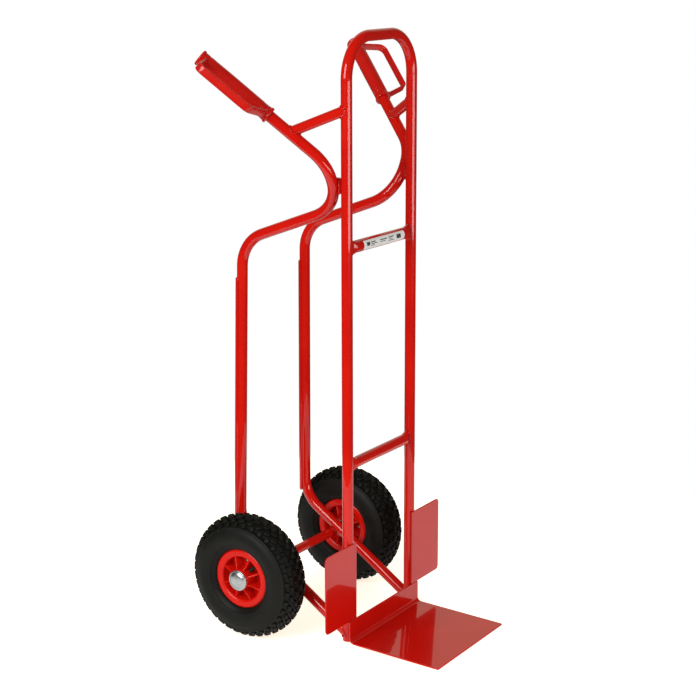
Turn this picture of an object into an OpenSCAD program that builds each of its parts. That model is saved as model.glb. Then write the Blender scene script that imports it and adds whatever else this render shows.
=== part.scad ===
// Hand truck: bent-tube frame with skids, folded toe plate, side wings,
// guarded grips and two pneumatic wheels.
// X runs across (the right hand of the user is -X), Y from front to back
// (the load stands on the -Y side), Z up. The floor is z = 0. Sizes along Y
// count from the axes of the uprights; the finished pieces are then moved so
// that the origin is the middle of the footprint.

/* [Overall] */
// Height over the top of the hoop
height = 1222; // [1000:1:1500]
// Spacing of the two uprights, centre to centre
upright_spacing = 238; // [200:1:320]
// Outer diameter of the frame tubes
tube_d = 22; // [18:0.5:28]
// Wall of the frame tubes
tube_wall = 1.5; // [1:0.1:3]
// Bend radius of the hoop corners, on the centre line
hoop_bend_r = 79; // [50:1:95]
// Height of the lower ends of the uprights above the floor
upright_foot_z = 8; // [4:0.5:20]

/* [Side tubes] */
// Drop of the upper corner of the front bend below the hoop top
front_high_drop = 245; // [212:1:282]
// Drop of the lower corner of the front bend below the hoop top
front_low_drop = 333; // [322:1:372]
// Distance of the upper corner of the front bend outside the upright axis
front_high_out = 33; // [11:1:56]
// Distance of the lower corner of the front bend inside the upright axis
front_low_in = 15; // [1:1:24]
// Bend radius of both corners of the front bend
front_bend_r = 84; // [60:1:87]
// Drop of the shoulder, where the tube turns down, below the hoop top
shoulder_drop = 419; // [382:1:462]
// Distance of the shoulders inside the upright axes
shoulder_in = 9; // [-6:1:19]
// Distance of the shoulders behind the uprights
shoulder_y = 255; // [240:1:290]
// Bend radius of the shoulder
shoulder_bend_r = 74; // [50:1:100]
// Height of the knee, where the rear leg turns forward, above the axle
knee_rise = 73; // [65:1:110]
// Distance of the knees behind the uprights
knee_y = 265; // [250:1:290]
// Bend radius of the knee
knee_bend_r = 75; // [50:1:110]
// Thickness of the spacer between front bend and upright
spacer_t = 2.5; // [1.5:0.1:8]
// Height of the spacer
spacer_h = 30; // [20:1:45]
// Width of the spacer
spacer_w = 9; // [6:0.5:14]

/* [Handles] */
// Length of the handle tube past the front bend corner
handle_len = 305; // [270:1:340]
// Outward spread of the handle over its length
handle_out = 113; // [60:1:140]
// Backward run of the handle over its length
handle_back = 204; // [160:1:230]
// Length of the grip sleeve
grip_len = 170; // [120:1:180]
// Wall of the grip sleeve
grip_wall = 3.4; // [2:0.1:6]
// Thickness of the closed end of the grip
grip_end_t = 4; // [3:0.5:8]
// Height of the collars at both ends of the grip above the sleeve
grip_collar_h = 2; // [0.5:0.1:6]
// Width of the collars
grip_collar_w = 5; // [3:0.5:9]
// Distance of the knuckle bow from the handle axis
bow_reach = 68; // [55:1:85]
// Width of the knuckle bow
bow_w = 15.5; // [14:0.5:26]
// Thickness of the knuckle bow
bow_t = 5; // [4:0.5:8]
// Bend radius of the bow corners, on the centre line
bow_bend_r = 14; // [9:0.5:20]
// Run of the slanted lower leg of the bow along the handle
bow_slant = 28; // [10:1:50]
// Height of the lower root of the bow above the lower end of the grip
bow_root = 9; // [8:1:30]
// Distance of the outer leg of the bow below the outer end of the grip
bow_top_drop = 13; // [3:0.5:30]
// Forward tilt of the bow from straight outboard
bow_tilt = 15; // [-30:1:45]

/* [Braces and cross bars] */
// Outer diameter of the handle braces
brace_d = 20; // [16:0.5:22]
// Drop of the feet of the braces below the hoop top
brace_drop = 145; // [122:1:182]
// Distance of the brace along the handle from the bend corner
brace_along = 91; // [80:1:120]
// Outer diameter of the upper cross bar
upper_bar_d = 24; // [18:0.5:28]
// Drop of the upper cross bar below the hoop top
upper_bar_drop = 410; // [322:1:522]
// Outer diameter of the lower cross bar
lower_bar_d = 22; // [18:0.5:28]
// Height of the lower cross bar
lower_bar_z = 377; // [300:1:600]
// Height of the flattened bar ends
bar_end_h = 32; // [26:1:40]
// Thickness of the flattened bar ends
bar_end_t = 12; // [8:0.5:18]
// Length over which a bar end is flattened
bar_end_len = 26; // [18:1:40]
// Length of the sticker along the upper cross bar
label_len = 150; // [80:1:160]
// Angle that the sticker wraps round the bar
label_angle = 100; // [60:5:150]

/* [Skids] */
// Thickness of the skid shell
skid_t = 2.5; // [1.5:0.1:5]
// Drop of the upper end of the skids below the shoulder
skid_top_drop = 75; // [68:1:203]
// Height of the lower end of the skids above the knee
skid_foot_rise = 13; // [7:1:97]
// Angle that the skid wraps round the leg
skid_angle = 170; // [120:5:180]

/* [Toe plate] */
// Overhang of the toe plate outside the upright axes
plate_overhang = 15; // [1:1:80]
// Distance of the front edge of the blade from the upright axes
plate_reach = 219; // [150:1:300]
// Thickness of the toe plate
plate_t = 3; // [2:0.5:6]
// Height of the underside of the blade at the fold
plate_heel_z = 7; // [3:0.5:7.5]
// Height of the upper edge of the flange
flange_top_z = 55; // [45:1:80]
// Inside radius of the fold
fold_r = 9; // [4:0.5:14]
// Corner radius of the blade
blade_corner_r = 4; // [2:0.5:20]

/* [Wings] */
// Width of a wing
wing_w = 112; // [82:1:117]
// Height of the wings
wing_h = 161; // [100:1:200]
// Thickness of the wings
wing_t = 2.5; // [2:0.5:5]
// Radius of the outer corners of the wings
wing_corner_r = 10; // [3:0.5:25]

/* [Wheels] */
// Outer diameter of the tyre
wheel_d = 260; // [240:1:280]
// Width of the tyre
tyre_w = 85; // [78:1:88]
// Gap between the diagonals and the stop collars inboard of the wheels
collar_gap = 10.1; // [8:0.1:25]
// Distance of the axle behind the uprights
axle_y = 196; // [180:1:205]
// Thickness of the tyre casing with its tread
casing_t = 8.5; // [7:0.5:11]
// Width of the tyre beads
bead_w = 8; // [6:0.5:10]
// Height of the tyre beads
bead_h = 15; // [13:0.5:18]
// Height of the tread above the edges of the rim flanges
rim_flange_drop = 68; // [65:0.5:72]
// Height of the rim flanges above the barrel
rim_lip_h = 12; // [10:0.5:15]
// Distance of the rim flange faces inside the sides of the tyre
rim_inset = 13.5; // [10:0.5:17]
// Wall of the moulded rim
rim_wall = 4; // [3:0.5:6]
// Thickness of the web of each rim half
web_t = 4; // [3:0.5:8]
// Outer diameter of the hub
hub_d = 44; // [40:1:50]
// Half length of the hub
hub_half = 37; // [34:0.5:40]
// Number of ribs on each rim half
rib_count = 8; // [5:1:10]
// Thickness of the ribs
rib_t = 4; // [3:0.5:6]
// Number of screws that clamp the rim halves
screw_count = 4; // [3:1:6]
// Diameter of the clamping screws
screw_d = 6; // [5:0.5:8]
// Diameter of the filled inner tube
inner_tube_d = 56; // [40:1:58]
// Gap between the inner tube and the crown of the casing
crown_gap = 2; // [0.5:0.1:5]
// Wall of the inner tube
inner_tube_wall = 1.5; // [1:0.1:3]
// Diameter of the valve stem
valve_d = 8; // [6:0.5:10]

/* [Axle] */
// Diameter of the axle
axle_d = 20; // [16:0.5:21]
// Outer diameter of the bearings
bearing_d = 28; // [26:0.5:32]
// Length of each bearing
bearing_len = 24; // [16:1:32]
// Outer diameter of the thrust washers
washer_d = 36; // [30:1:42]
// Thickness of the thrust washers
washer_t = 1.6; // [1:0.1:3]
// Width of the stop collars
collar_w = 8; // [5:0.5:10]
// Diameter of the stop collars
collar_d = 30; // [27:0.5:36]
// Diameter of the hub caps
cap_d = 43; // [38:0.5:46]
// Height of the dome of the hub caps
cap_h = 6.5; // [4:0.5:12]
// Wall of the hub caps
cap_wall = 1; // [0.6:0.1:2]

/* [Clearances] */
// Gap between parts before welding
weld_gap = 0.2; // [0.1:0.05:0.5]
// Radial clearance of the bearings on the axle
bearing_clearance = 0.04; // [0.01:0.01:0.1]
// Side play between hub, washers and collar
side_play = 0.3; // [0.2:0.1:1]
// Gap between moving rubber or plastic skins
skin_gap = 0.3; // [0.2:0.1:0.5]
// Radial clearance of the grip on the handle tube
grip_clearance = 0.1; // [0.05:0.05:0.3]

/* [Hidden] */
$fn = 64;
eps = 0.01;
seam_t = 0.04;
seam_len = 0.5;

tube_r = tube_d / 2;
tube_in_r = tube_r - tube_wall;
half_w = upright_spacing / 2;
wheel_r = wheel_d / 2;
axle_z = wheel_r;
axle_r = axle_d / 2;
front_y = tube_d + spacer_t;
front_high_z = height - front_high_drop;
front_low_z = height - front_low_drop;
shoulder_z = height - shoulder_drop;
knee_z = axle_z + knee_rise;
brace_z = height - brace_drop;
upper_bar_z = height - upper_bar_drop;
plate_w = upright_spacing + 2 * plate_overhang;
half_track = half_w + tube_r + collar_gap + collar_w + washer_t + side_play
    + hub_half;

// Line of the handle, from the upper corner of the front bend
handle_up = sqrt(handle_len * handle_len - handle_out * handle_out
    - handle_back * handle_back);
handle_base = [half_w + front_high_out, front_y, front_high_z];
handle_dir = [handle_out, handle_back, handle_up] / handle_len;
handle_end = handle_base + handle_dir * handle_len;

// The diagonal leaves the knee and rests on top of the axle
axle_seat = axle_r + tube_r + weld_gap;
knee_to_axle = [knee_y - axle_y, knee_z - axle_z];
diagonal_angle = atan2(knee_to_axle[1], knee_to_axle[0])
    - asin(axle_seat / norm(knee_to_axle));
diagonal_foot_z = knee_z - knee_y * tan(diagonal_angle);

// Corners of a side tube on its centre line, for the left side
side_corners = [
    handle_end,
    handle_base,
    [half_w - front_low_in, front_y, front_low_z],
    [half_w - shoulder_in, shoulder_y, shoulder_z],
    [half_w, knee_y, knee_z],
    [half_w, 0, diagonal_foot_z]
];
side_bends = [front_bend_r, front_bend_r, shoulder_bend_r, knee_bend_r];

// Corners of the hoop on its centre line
hoop_top = height - tube_r;
hoop_corners = [
    [-half_w, 0, upright_foot_z],
    [-half_w, 0, hoop_top],
    [half_w, 0, hoop_top],
    [half_w, 0, upright_foot_z]
];
hoop_bends = [hoop_bend_r, hoop_bend_r];

// Middle of the straight rear leg
leg_dir = unit(side_corners[3] - side_corners[4]);
leg_at = function (z) side_corners[4]
    + leg_dir * (z - knee_z) / leg_dir[2];
skid_top_z = shoulder_z - skid_top_drop;
skid_foot_z = knee_z + skid_foot_rise;

// Grip sleeve
grip_d = tube_d + 2 * (grip_clearance + grip_wall);
grip_collar_d = grip_d + 2 * grip_collar_h;

// Directions across the handle: towards the knuckle bow and along its width
bow_flat = unit(cross(handle_dir, cross([1, 0, 0], handle_dir)));
bow_side = unit(cross(handle_dir, bow_flat));
bow_dir = bow_flat * cos(bow_tilt) - bow_side * sin(bow_tilt);

// Wheel section
casing_r = tyre_w / 2;
section_r = wheel_r - casing_r;
cavity_r = casing_r - casing_t;
flange_r = wheel_r - rim_flange_drop;
barrel_r = flange_r - rim_lip_h;
hub_r = hub_d / 2;
bearing_r = bearing_d / 2;
rim_face = casing_r - rim_inset;
bead_out = rim_face - rim_wall - skin_gap;
screw_ring_r = (hub_r + barrel_r - rim_wall) / 2;
screw_head_d = screw_d * 1.7;
screw_head_h = screw_d * 0.65;
valve_z = web_t + valve_d / 2 + skin_gap;
valve_angle = -360 / rib_count;

// The filled tube lies against the crown and clear of the bead feet
crown_r = wheel_r - casing_t - crown_gap;
bead_top_r = barrel_r + skin_gap + bead_h;
bead_mouth = bead_out - bead_w;
free_h = crown_r - bead_top_r;
inner_tube_r = min(inner_tube_d / 2, cavity_r - skin_gap,
    (free_h * free_h + bead_mouth * bead_mouth - skin_gap * skin_gap)
        / (2 * (free_h + skin_gap)));
tube_section_r = crown_r - inner_tube_r;
cap_seat = hub_half + washer_t + side_play;
axle_half = half_track + cap_seat + (cap_h - cap_wall) / 2;

wing_y = -tube_r - weld_gap;
wing_inner = half_w - tube_r;

// Fold of the toe plate; the blade runs down from it to the floor
fold_out_r = fold_r + plate_t;
fold_y = wing_y - fold_out_r;
fold_z = plate_heel_z + fold_out_r;
edge_to_fold = [plate_reach + fold_y, fold_z];
blade_slope = atan2(edge_to_fold[1], edge_to_fold[0])
    - asin(fold_out_r / norm(edge_to_fold));
blade_len = sqrt(edge_to_fold * edge_to_fold - fold_out_r * fold_out_r);

// ---- geometry helpers ----

function unit(v) = v / norm(v);

// Length of straight tube that a bend of radius r takes up at corner p
function bend_take(a, p, b, r) =
    let (half = acos(unit(a - p) * unit(b - p)) / 2) r / tan(half);

// Columns x, y, z and origin o as a placing matrix
function placing(x, y, z, o) = [
    [x[0], y[0], z[0], o[0]],
    [x[1], y[1], z[1], o[1]],
    [x[2], y[2], z[2], o[2]],
    [0, 0, 0, 1]
];

// Any direction square to d
function across(d) =
    unit(cross(abs(d[0]) < 0.9 ? [1, 0, 0] : [0, 1, 0], d));

// Places children so that +Z runs along direction d from point p
module along(p, d) {
    z = unit(d);
    x = across(z);
    multmatrix(placing(x, cross(z, x), z, p)) children();
}

module ring(r_out, r_in) {
    difference() {
        circle(r = r_out);
        if (r_in > 0) circle(r = r_in);
    }
}

// Straight tube between two points
module straight(a, b, r_out, r_in = 0) {
    along(a, b - a) linear_extrude(norm(b - a)) ring(r_out, r_in);
}

// Bend of radius r at corner p between the neighbouring corners a and b
module bend(a, p, b, r, r_out, r_in = 0) {
    u = unit(a - p);
    w = unit(b - p);
    take = bend_take(a, p, b, r);
    centre = p + unit(u + w) * norm([r, take]);
    ex = unit(p + u * take - centre);
    ey0 = unit(p + w * take - centre);
    n = unit(cross(ex, ey0));
    multmatrix(placing(ex, cross(n, ex), n, centre))
        rotate_extrude(angle = acos(ex * ey0), start = 0)
            translate([r, 0]) ring(r_out, r_in);
}

// Tube along corner points with bends of the given radii
module bent_tube(pts, radii, r_out, r_in = 0) {
    last = len(pts) - 1;
    take = [for (i = [0 : last])
        i == 0 || i == last ? 0
            : bend_take(pts[i - 1], pts[i], pts[i + 1], radii[i - 1])];
    for (i = [0 : last - 1]) {
        d = unit(pts[i + 1] - pts[i]);
        straight(pts[i] + d * take[i], pts[i + 1] - d * take[i + 1],
            r_out, r_in);
    }
    for (i = [1 : last - 1]) {
        bend(pts[i - 1], pts[i], pts[i + 1], radii[i - 1], r_out, r_in);
        // a hair-thin band closes each seam between straight and bend
        for (q = [pts[i - 1], pts[i + 1]]) {
            d = unit(q - pts[i]);
            seam = pts[i] + d * take[i];
            straight(seam - d * seam_len, seam + d * seam_len,
                r_out + seam_t, r_in > 0 ? r_in - seam_t : 0);
        }
    }
}

// Moves a piece from the axes of the uprights to the origin of the part,
// the middle of the footprint
module placed() {
    translate([0, (plate_reach - axle_y - wheel_r) / 2, 0]) children();
}

// Right-hand copy (-X) of something modelled for the left-hand side (+X)
module on_side(side) {
    if (side < 0) mirror([1, 0, 0]) children();
    else children();
}

// ---- frame ----

module upright_envelope(side, gap = weld_gap) {
    translate([side * half_w, 0, -1])
        cylinder(r = tube_r + gap, h = hoop_top - hoop_bend_r + 1);
}

module main_hoop() {
    color([0.78, 0.06, 0.04]) placed()
        bent_tube(hoop_corners, hoop_bends, tube_r, tube_in_r);
}

module side_tube(side) {
    color([0.78, 0.06, 0.04]) placed() difference() {
        on_side(side)
            bent_tube(side_corners, side_bends, tube_r, tube_in_r);
        translate([side * half_w, 0, -1])
            cylinder(r = tube_r + weld_gap, h = knee_z);
        translate([side * half_w - tube_d, -2 * tube_d, -1])
            cube([2 * tube_d, 2 * tube_d, knee_z]);
    }
}

// Plate between the upright and the front bend, shaped to both tubes
module spacer(side) {
    $fn = 128;
    mid_z = (front_high_z + front_low_z) / 2;
    color([0.62, 0.04, 0.03]) placed() difference() {
        translate([side * (half_w + spacer_t) - spacer_w / 2, 0,
                mid_z - spacer_h / 2])
            cube([spacer_w, front_y, spacer_h]);
        upright_envelope(side);
        on_side(side) bend_envelope();
    }
}

// Space that the front bend takes up, with the gap for its weld
module bend_envelope() {
    p = side_corners;
    take1 = bend_take(p[0], p[1], p[2], front_bend_r);
    take2 = bend_take(p[1], p[2], p[3], front_bend_r);
    r = tube_r + weld_gap;
    d = unit(p[2] - p[1]);
    if (norm(p[2] - p[1]) > take1 + take2)
        straight(p[1] + d * take1, p[2] - d * take2, r);
    bend(p[0], p[1], p[2], front_bend_r, r);
    bend(p[1], p[2], p[3], front_bend_r, r);
}

module handle_brace(side) {
    foot = [half_w, 0, brace_z];
    head = handle_base + handle_dir * brace_along;
    color([0.78, 0.06, 0.04]) placed() on_side(side) difference() {
        straight(foot, head, brace_d / 2, brace_d / 2 - tube_wall);
        translate([half_w, 0, brace_z - 2 * tube_d])
            cylinder(r = tube_r + weld_gap, h = 4 * tube_d);
        straight(head - handle_dir * 3 * tube_d,
            head + handle_dir * 3 * tube_d, tube_r + weld_gap);
    }
}

// Round bar between the uprights; its ends are pressed flat and flare out
module cross_bar(z, d) {
    span = half_w - bar_end_len;
    color([0.78, 0.06, 0.04]) placed() difference() {
        union() {
            translate([-span, 0, z]) rotate([0, 90, 0])
                linear_extrude(2 * span) ring(d / 2, d / 2 - tube_wall);
            for (side = [-1, 1]) translate([side * span, 0, z])
                rotate([0, side * 90, 0]) hull() {
                    cylinder(r = d / 2, h = eps);
                    translate([0, 0, bar_end_len]) linear_extrude(eps)
                        offset(bar_end_t / 2 - 0.5)
                            square([bar_end_h - bar_end_t + 1, 1],
                                center = true);
                }
        }
        upright_envelope(-1);
        upright_envelope(1);
    }
}

module upper_cross_bar() { cross_bar(upper_bar_z, upper_bar_d); }
module lower_cross_bar() { cross_bar(lower_bar_z, lower_bar_d); }

// Thin sticker that wraps the front of the upper cross bar
module label() {
    color("white") placed() translate([-label_len / 2, 0, upper_bar_z])
        rotate([0, 90, 0])
            rotate([0, 0, -90 - label_angle / 2])
                rotate_extrude_sector(upper_bar_d / 2 + 0.05,
                    upper_bar_d / 2 + 0.3, label_angle, label_len);
}

// Part of a tube wall, angle degrees wide, from angle 0 on
module rotate_extrude_sector(r_in, r_out, angle, len) {
    rotate_extrude(angle = angle, start = 0)
        translate([r_in, 0]) square([r_out - r_in, len]);
}

// Half shell on the back of the straight rear leg
module skid(side) {
    low = leg_at(skid_foot_z);
    high = leg_at(skid_top_z);
    z = leg_dir;
    y = unit([0, 1, 0] - z * z[1]);
    x = cross(y, z);
    color([0.74, 0.05, 0.04]) placed() on_side(side)
        multmatrix(placing(x, y, z, low))
            rotate([0, 0, 90 - skid_angle / 2])
                rotate_extrude_sector(tube_r + weld_gap,
                    tube_r + weld_gap + skid_t, skid_angle,
                    norm(high - low));
}

// Folded sheet: flange on the front of the uprights, fold, sloping blade
module toe_plate() {
    sector = 2 * fold_out_r;
    color([0.80, 0.07, 0.05]) placed() difference() {
        translate([-plate_w / 2, 0, 0]) rotate([90, 0, 90])
            linear_extrude(plate_w) {
                translate([wing_y - plate_t, fold_z - seam_len])
                    square([plate_t, flange_top_z - fold_z + seam_len]);
                translate([fold_y, fold_z]) rotate(blade_slope - 90)
                    intersection() {
                        ring(fold_out_r + seam_t, fold_r - seam_t);
                        polygon([[0, 0], [sector, 0], [sector, sector],
                            sector * [sin(blade_slope),
                                cos(blade_slope)]]);
                    }
                translate([fold_y, fold_z]) rotate(blade_slope)
                    translate([-blade_len, -fold_out_r])
                        square([blade_len + seam_len, plate_t]);
            }
        for (side = [-1, 1])
            translate([side * plate_w / 2, -plate_reach, -1])
                corner_cut(side, blade_corner_r);
    }
}

// Takes the sharp corner off the blade
module corner_cut(side, r) {
    h = plate_heel_z + plate_t;
    difference() {
        translate([-r, -r, 0]) cube([2 * r, 2 * r, h]);
        translate([-side * r, r, -1]) cylinder(r = r, h = h + 2);
    }
}

// Flat plate beside the upright, level with its front
module wing(side) {
    w = wing_w;
    r = wing_corner_r;
    color([0.80, 0.07, 0.05]) placed() on_side(side)
        translate([wing_inner, wing_y, flange_top_z + weld_gap])
            rotate([90, 0, 0]) linear_extrude(wing_t) {
                square([w - r, wing_h]);
                translate([0, r]) square([w, wing_h - 2 * r]);
                for (z = [r, wing_h - r]) translate([w - r, z])
                    circle(r);
            }
}

// ---- grips ----

module grip(side) {
    start = handle_len - grip_len + grip_end_t + grip_clearance;
    low = handle_base + handle_dir * start;
    x = bow_dir;
    y = cross(handle_dir, x);
    color([0.86, 0.10, 0.06]) placed() on_side(side)
        multmatrix(placing(x, y, handle_dir, low)) difference() {
            union() {
                cylinder(r = grip_d / 2, h = grip_len);
                for (z = [0, grip_len - grip_collar_w])
                    translate([0, 0, z])
                        cylinder(r = grip_collar_d / 2, h = grip_collar_w);
                knuckle_bow();
            }
            translate([0, 0, -1])
                cylinder(r = tube_r + grip_clearance,
                    h = grip_len - grip_end_t + 1);
        }
}

// Bow from the outer end of the grip, along the hand and back to the grip
module knuckle_bow() {
    root = grip_d / 2 - 1.5;
    top = grip_len - bow_top_drop;
    pts = [
        [root, top],
        [bow_reach, top],
        [bow_reach, bow_root + bow_slant],
        [root, bow_root]
    ];
    rotate([90, 0, 0]) translate([0, 0, -bow_w / 2])
        linear_extrude(bow_w) bent_strip(pts, bow_bend_r, bow_t);
}

// Strip of width w along corner points, with rounded bends
module bent_strip(pts, r, w) {
    last = len(pts) - 1;
    take = [for (i = [0 : last])
        i == 0 || i == last ? 0
            : bend_take(pts[i - 1], pts[i], pts[i + 1], r)];
    for (i = [0 : last - 1]) {
        d = unit(pts[i + 1] - pts[i]);
        n = [-d[1], d[0]] * w / 2;
        a = pts[i] + d * take[i];
        b = pts[i + 1] - d * take[i + 1];
        polygon([a - n, b - n, b + n, a + n]);
    }
    for (i = [1 : last - 1]) {
        u = unit(pts[i - 1] - pts[i]);
        v = unit(pts[i + 1] - pts[i]);
        c = pts[i] + unit(u + v) * norm([r, take[i]]);
        far = 3 * (r + w);
        a = pts[i] + u * take[i] - c;
        b = pts[i] + v * take[i] - c;
        intersection() {
            translate(c) ring(r + w / 2, r - w / 2);
            polygon([c, c + unit(a) * far, c + unit(a + b) * far * 1.5,
                c + unit(b) * far]);
        }
    }
}

// ---- axle and its small parts ----

module on_axle(x = 0) {
    translate([x, axle_y, axle_z]) rotate([0, 90, 0]) children();
}

module axle() {
    color([0.74, 0.06, 0.04]) placed()
        on_axle(-axle_half) cylinder(r = axle_r, h = 2 * axle_half);
}

// Rings welded to the axle inboard of the wheels
module stop_collars() {
    x = half_track - hub_half - washer_t - side_play - collar_w;
    color([0.74, 0.06, 0.04]) placed() for (side = [-1, 1])
        on_axle(side > 0 ? x : -x - collar_w)
            linear_extrude(collar_w)
                ring(collar_d / 2, axle_r + eps);
}

module thrust_washers() {
    gap = side_play / 2;
    color("silver") placed() for (side = [-1, 1],
            x = [half_track - hub_half - gap - washer_t,
                half_track + hub_half + gap])
        on_axle(side > 0 ? x : -x - washer_t)
            linear_extrude(washer_t)
                ring(washer_d / 2, axle_r + bearing_clearance);
}

// Domed caps pressed on the ends of the axle
module hub_caps() {
    $fn = 96;
    dome_r = (cap_d * cap_d / 4 + cap_h * cap_h) / (2 * cap_h);
    color([0.80, 0.80, 0.82]) placed() for (side = [-1, 1])
        translate([side * (half_track + cap_seat), axle_y, axle_z])
            rotate([0, side * 90, 0]) difference() {
                intersection() {
                    translate([0, 0, cap_h - dome_r]) sphere(r = dome_r);
                    cylinder(r = cap_d / 2, h = cap_h + 1);
                }
                intersection() {
                    translate([0, 0, cap_h - dome_r])
                        sphere(r = dome_r - cap_wall);
                    translate([0, 0, cap_wall])
                        cylinder(r = cap_d / 2 - cap_wall, h = cap_h);
                }
                translate([0, 0, -1])
                    cylinder(r = axle_r + eps, h = cap_wall + 2);
            }
}

// ---- wheels: modelled about +Z, with the outer face at +Z ----

module on_wheel(side) {
    translate([side * half_track, axle_y, axle_z])
        rotate([0, side * 90, 0]) children();
}

// Casing of round section with a bead foot inside each rim flange
module tyre(side) {
    seat_r = barrel_r + skin_gap;
    mouth = bead_mouth;
    color([0.13, 0.13, 0.12]) placed() on_wheel(side) rotate_extrude()
        difference() {
            translate([section_r, 0]) circle(r = casing_r);
            translate([0, -tyre_w]) square([seat_r, 2 * tyre_w]);
            for (z = [bead_out, -bead_out - tyre_w]) translate([0, z])
                square([flange_r + skin_gap, tyre_w]);
            translate([0, -mouth]) square([section_r, 2 * mouth]);
            difference() {
                translate([section_r, 0]) circle(r = cavity_r);
                for (z = [mouth, -mouth - 2 * bead_w]) translate([0, z])
                    square([seat_r + bead_h, 2 * bead_w]);
            }
        }
}

module inner_tube(side) {
    color([0.20, 0.20, 0.20]) placed() on_wheel(side) rotate_extrude()
        translate([tube_section_r, 0])
            ring(inner_tube_r, inner_tube_r - inner_tube_wall);
}

// Stem from the inner tube through the barrel of the outer rim half
module valve(side) {
    color([0.16, 0.16, 0.16]) placed() on_wheel(side) at_valve() {
        cylinder(d = valve_d, h = tube_section_r - inner_tube_r
            - skin_gap - barrel_r + 12);
        translate([0, 0, -8]) cylinder(d = valve_d * 0.7, h = 8 + eps);
    }
}

// +Z outward along the valve, from 12 inside the barrel
module at_valve() {
    rotate([0, 0, valve_angle]) translate([barrel_r - 12, 0, valve_z])
        rotate([0, 90, 0]) children();
}

// Profile of one rim half: hub, web, barrel and flange, as r and z
module rim_profile() {
    lip = rim_wall / 2;
    translate([bearing_r, eps]) square([hub_r - bearing_r, hub_half - eps]);
    translate([hub_r - eps, eps]) square([barrel_r - hub_r, web_t]);
    translate([barrel_r - rim_wall, eps]) square([rim_wall, rim_face - eps]);
    translate([barrel_r - rim_wall, rim_face - rim_wall])
        square([flange_r - lip - barrel_r + rim_wall, rim_wall]);
    translate([flange_r - lip, rim_face - lip]) circle(lip);
}

module rim_half() {
    difference() {
        union() {
            rotate_extrude() rim_profile();
            for (i = [0 : rib_count - 1])
                rotate([0, 0, (i + 0.5) * 360 / rib_count])
                    translate([hub_r - 1, -rib_t / 2, web_t - eps])
                        rib();
        }
        for (i = [0 : screw_count - 1])
            rotate([0, 0, i * 360 / screw_count])
                translate([screw_ring_r, 0, -1])
                    cylinder(d = screw_d, h = rim_face);
    }
}

// Rib between hub and barrel, lower at its outer end
module rib() {
    len = barrel_r - rim_wall - hub_r + 2;
    h = rim_face - web_t;
    translate([0, rib_t, 0]) rotate([90, 0, 0]) linear_extrude(rib_t)
        polygon([[0, 0], [len, 0], [len, h * 0.8], [0, h]]);
}

module rim_outer(side) {
    color([0.90, 0.12, 0.08]) placed() on_wheel(side) difference() {
        rim_half();
        at_valve() cylinder(d = valve_d + 2 * skin_gap, h = 20);
    }
}

module rim_inner(side) {
    color([0.90, 0.12, 0.08]) placed() on_wheel(side)
        mirror([0, 0, 1]) rim_half();
}

module rim_screws(side) {
    color("silver") placed() on_wheel(side) for (i = [0 : screw_count - 1])
        rotate([0, 0, i * 360 / screw_count])
            translate([screw_ring_r, 0, 0]) {
                translate([0, 0, -web_t - screw_head_h - 2])
                    cylinder(d = screw_d - 2 * eps,
                        h = 2 * web_t + screw_head_h + 2);
                translate([0, 0, web_t + eps])
                    cylinder(d = screw_head_d, h = screw_head_h);
            }
}

module rim_nuts(side) {
    color("silver") placed() on_wheel(side) for (i = [0 : screw_count - 1])
        rotate([0, 0, i * 360 / screw_count])
            translate([screw_ring_r, 0, -web_t - eps - screw_head_h])
                difference() {
                    cylinder(d = screw_head_d, h = screw_head_h, $fn = 6);
                    translate([0, 0, -1])
                        cylinder(d = screw_d, h = screw_head_h + 2);
                }
}

// Roller bearings at both ends of the hub
module bearings(side) {
    color([0.75, 0.76, 0.78]) placed() on_wheel(side)
        for (z = [-hub_half, hub_half - bearing_len])
            translate([0, 0, z]) linear_extrude(bearing_len)
                ring(bearing_r - eps, axle_r + bearing_clearance);
}

main_hoop();
side_tube(-1);  // side_tube_right
side_tube(1);  // side_tube_left
spacer(-1);  // spacer_right
spacer(1);  // spacer_left
handle_brace(-1);  // handle_brace_right
handle_brace(1);  // handle_brace_left
upper_cross_bar();
lower_cross_bar();
label();
skid(-1);  // skid_right
skid(1);  // skid_left
toe_plate();
wing(-1);  // wing_right
wing(1);  // wing_left
grip(-1);  // grip_right
grip(1);  // grip_left
axle();
stop_collars();
thrust_washers();
hub_caps();
tyre(-1);  // tyre_right
inner_tube(-1);  // inner_tube_right
valve(-1);  // valve_right
rim_outer(-1);  // rim_outer_right
rim_inner(-1);  // rim_inner_right
rim_screws(-1);  // rim_screws_right
rim_nuts(-1);  // rim_nuts_right
bearings(-1);  // bearings_right
tyre(1);  // tyre_left
inner_tube(1);  // inner_tube_left
valve(1);  // valve_left
rim_outer(1);  // rim_outer_left
rim_inner(1);  // rim_inner_left
rim_screws(1);  // rim_screws_left
rim_nuts(1);  // rim_nuts_left
bearings(1);  // bearings_left
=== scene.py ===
"""Hand truck: the finished look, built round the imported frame.

Lengths are millimetres, as in the part's source, and become metres where a
mesh is made. Points are in the part's own frame: X across, the load on the -Y
side, Z up. A wheel's own points are (up, back, outward) from its middle.
"""

import math

import bmesh
import bpy
import numpy as np
from mathutils import Matrix, Vector


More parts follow.
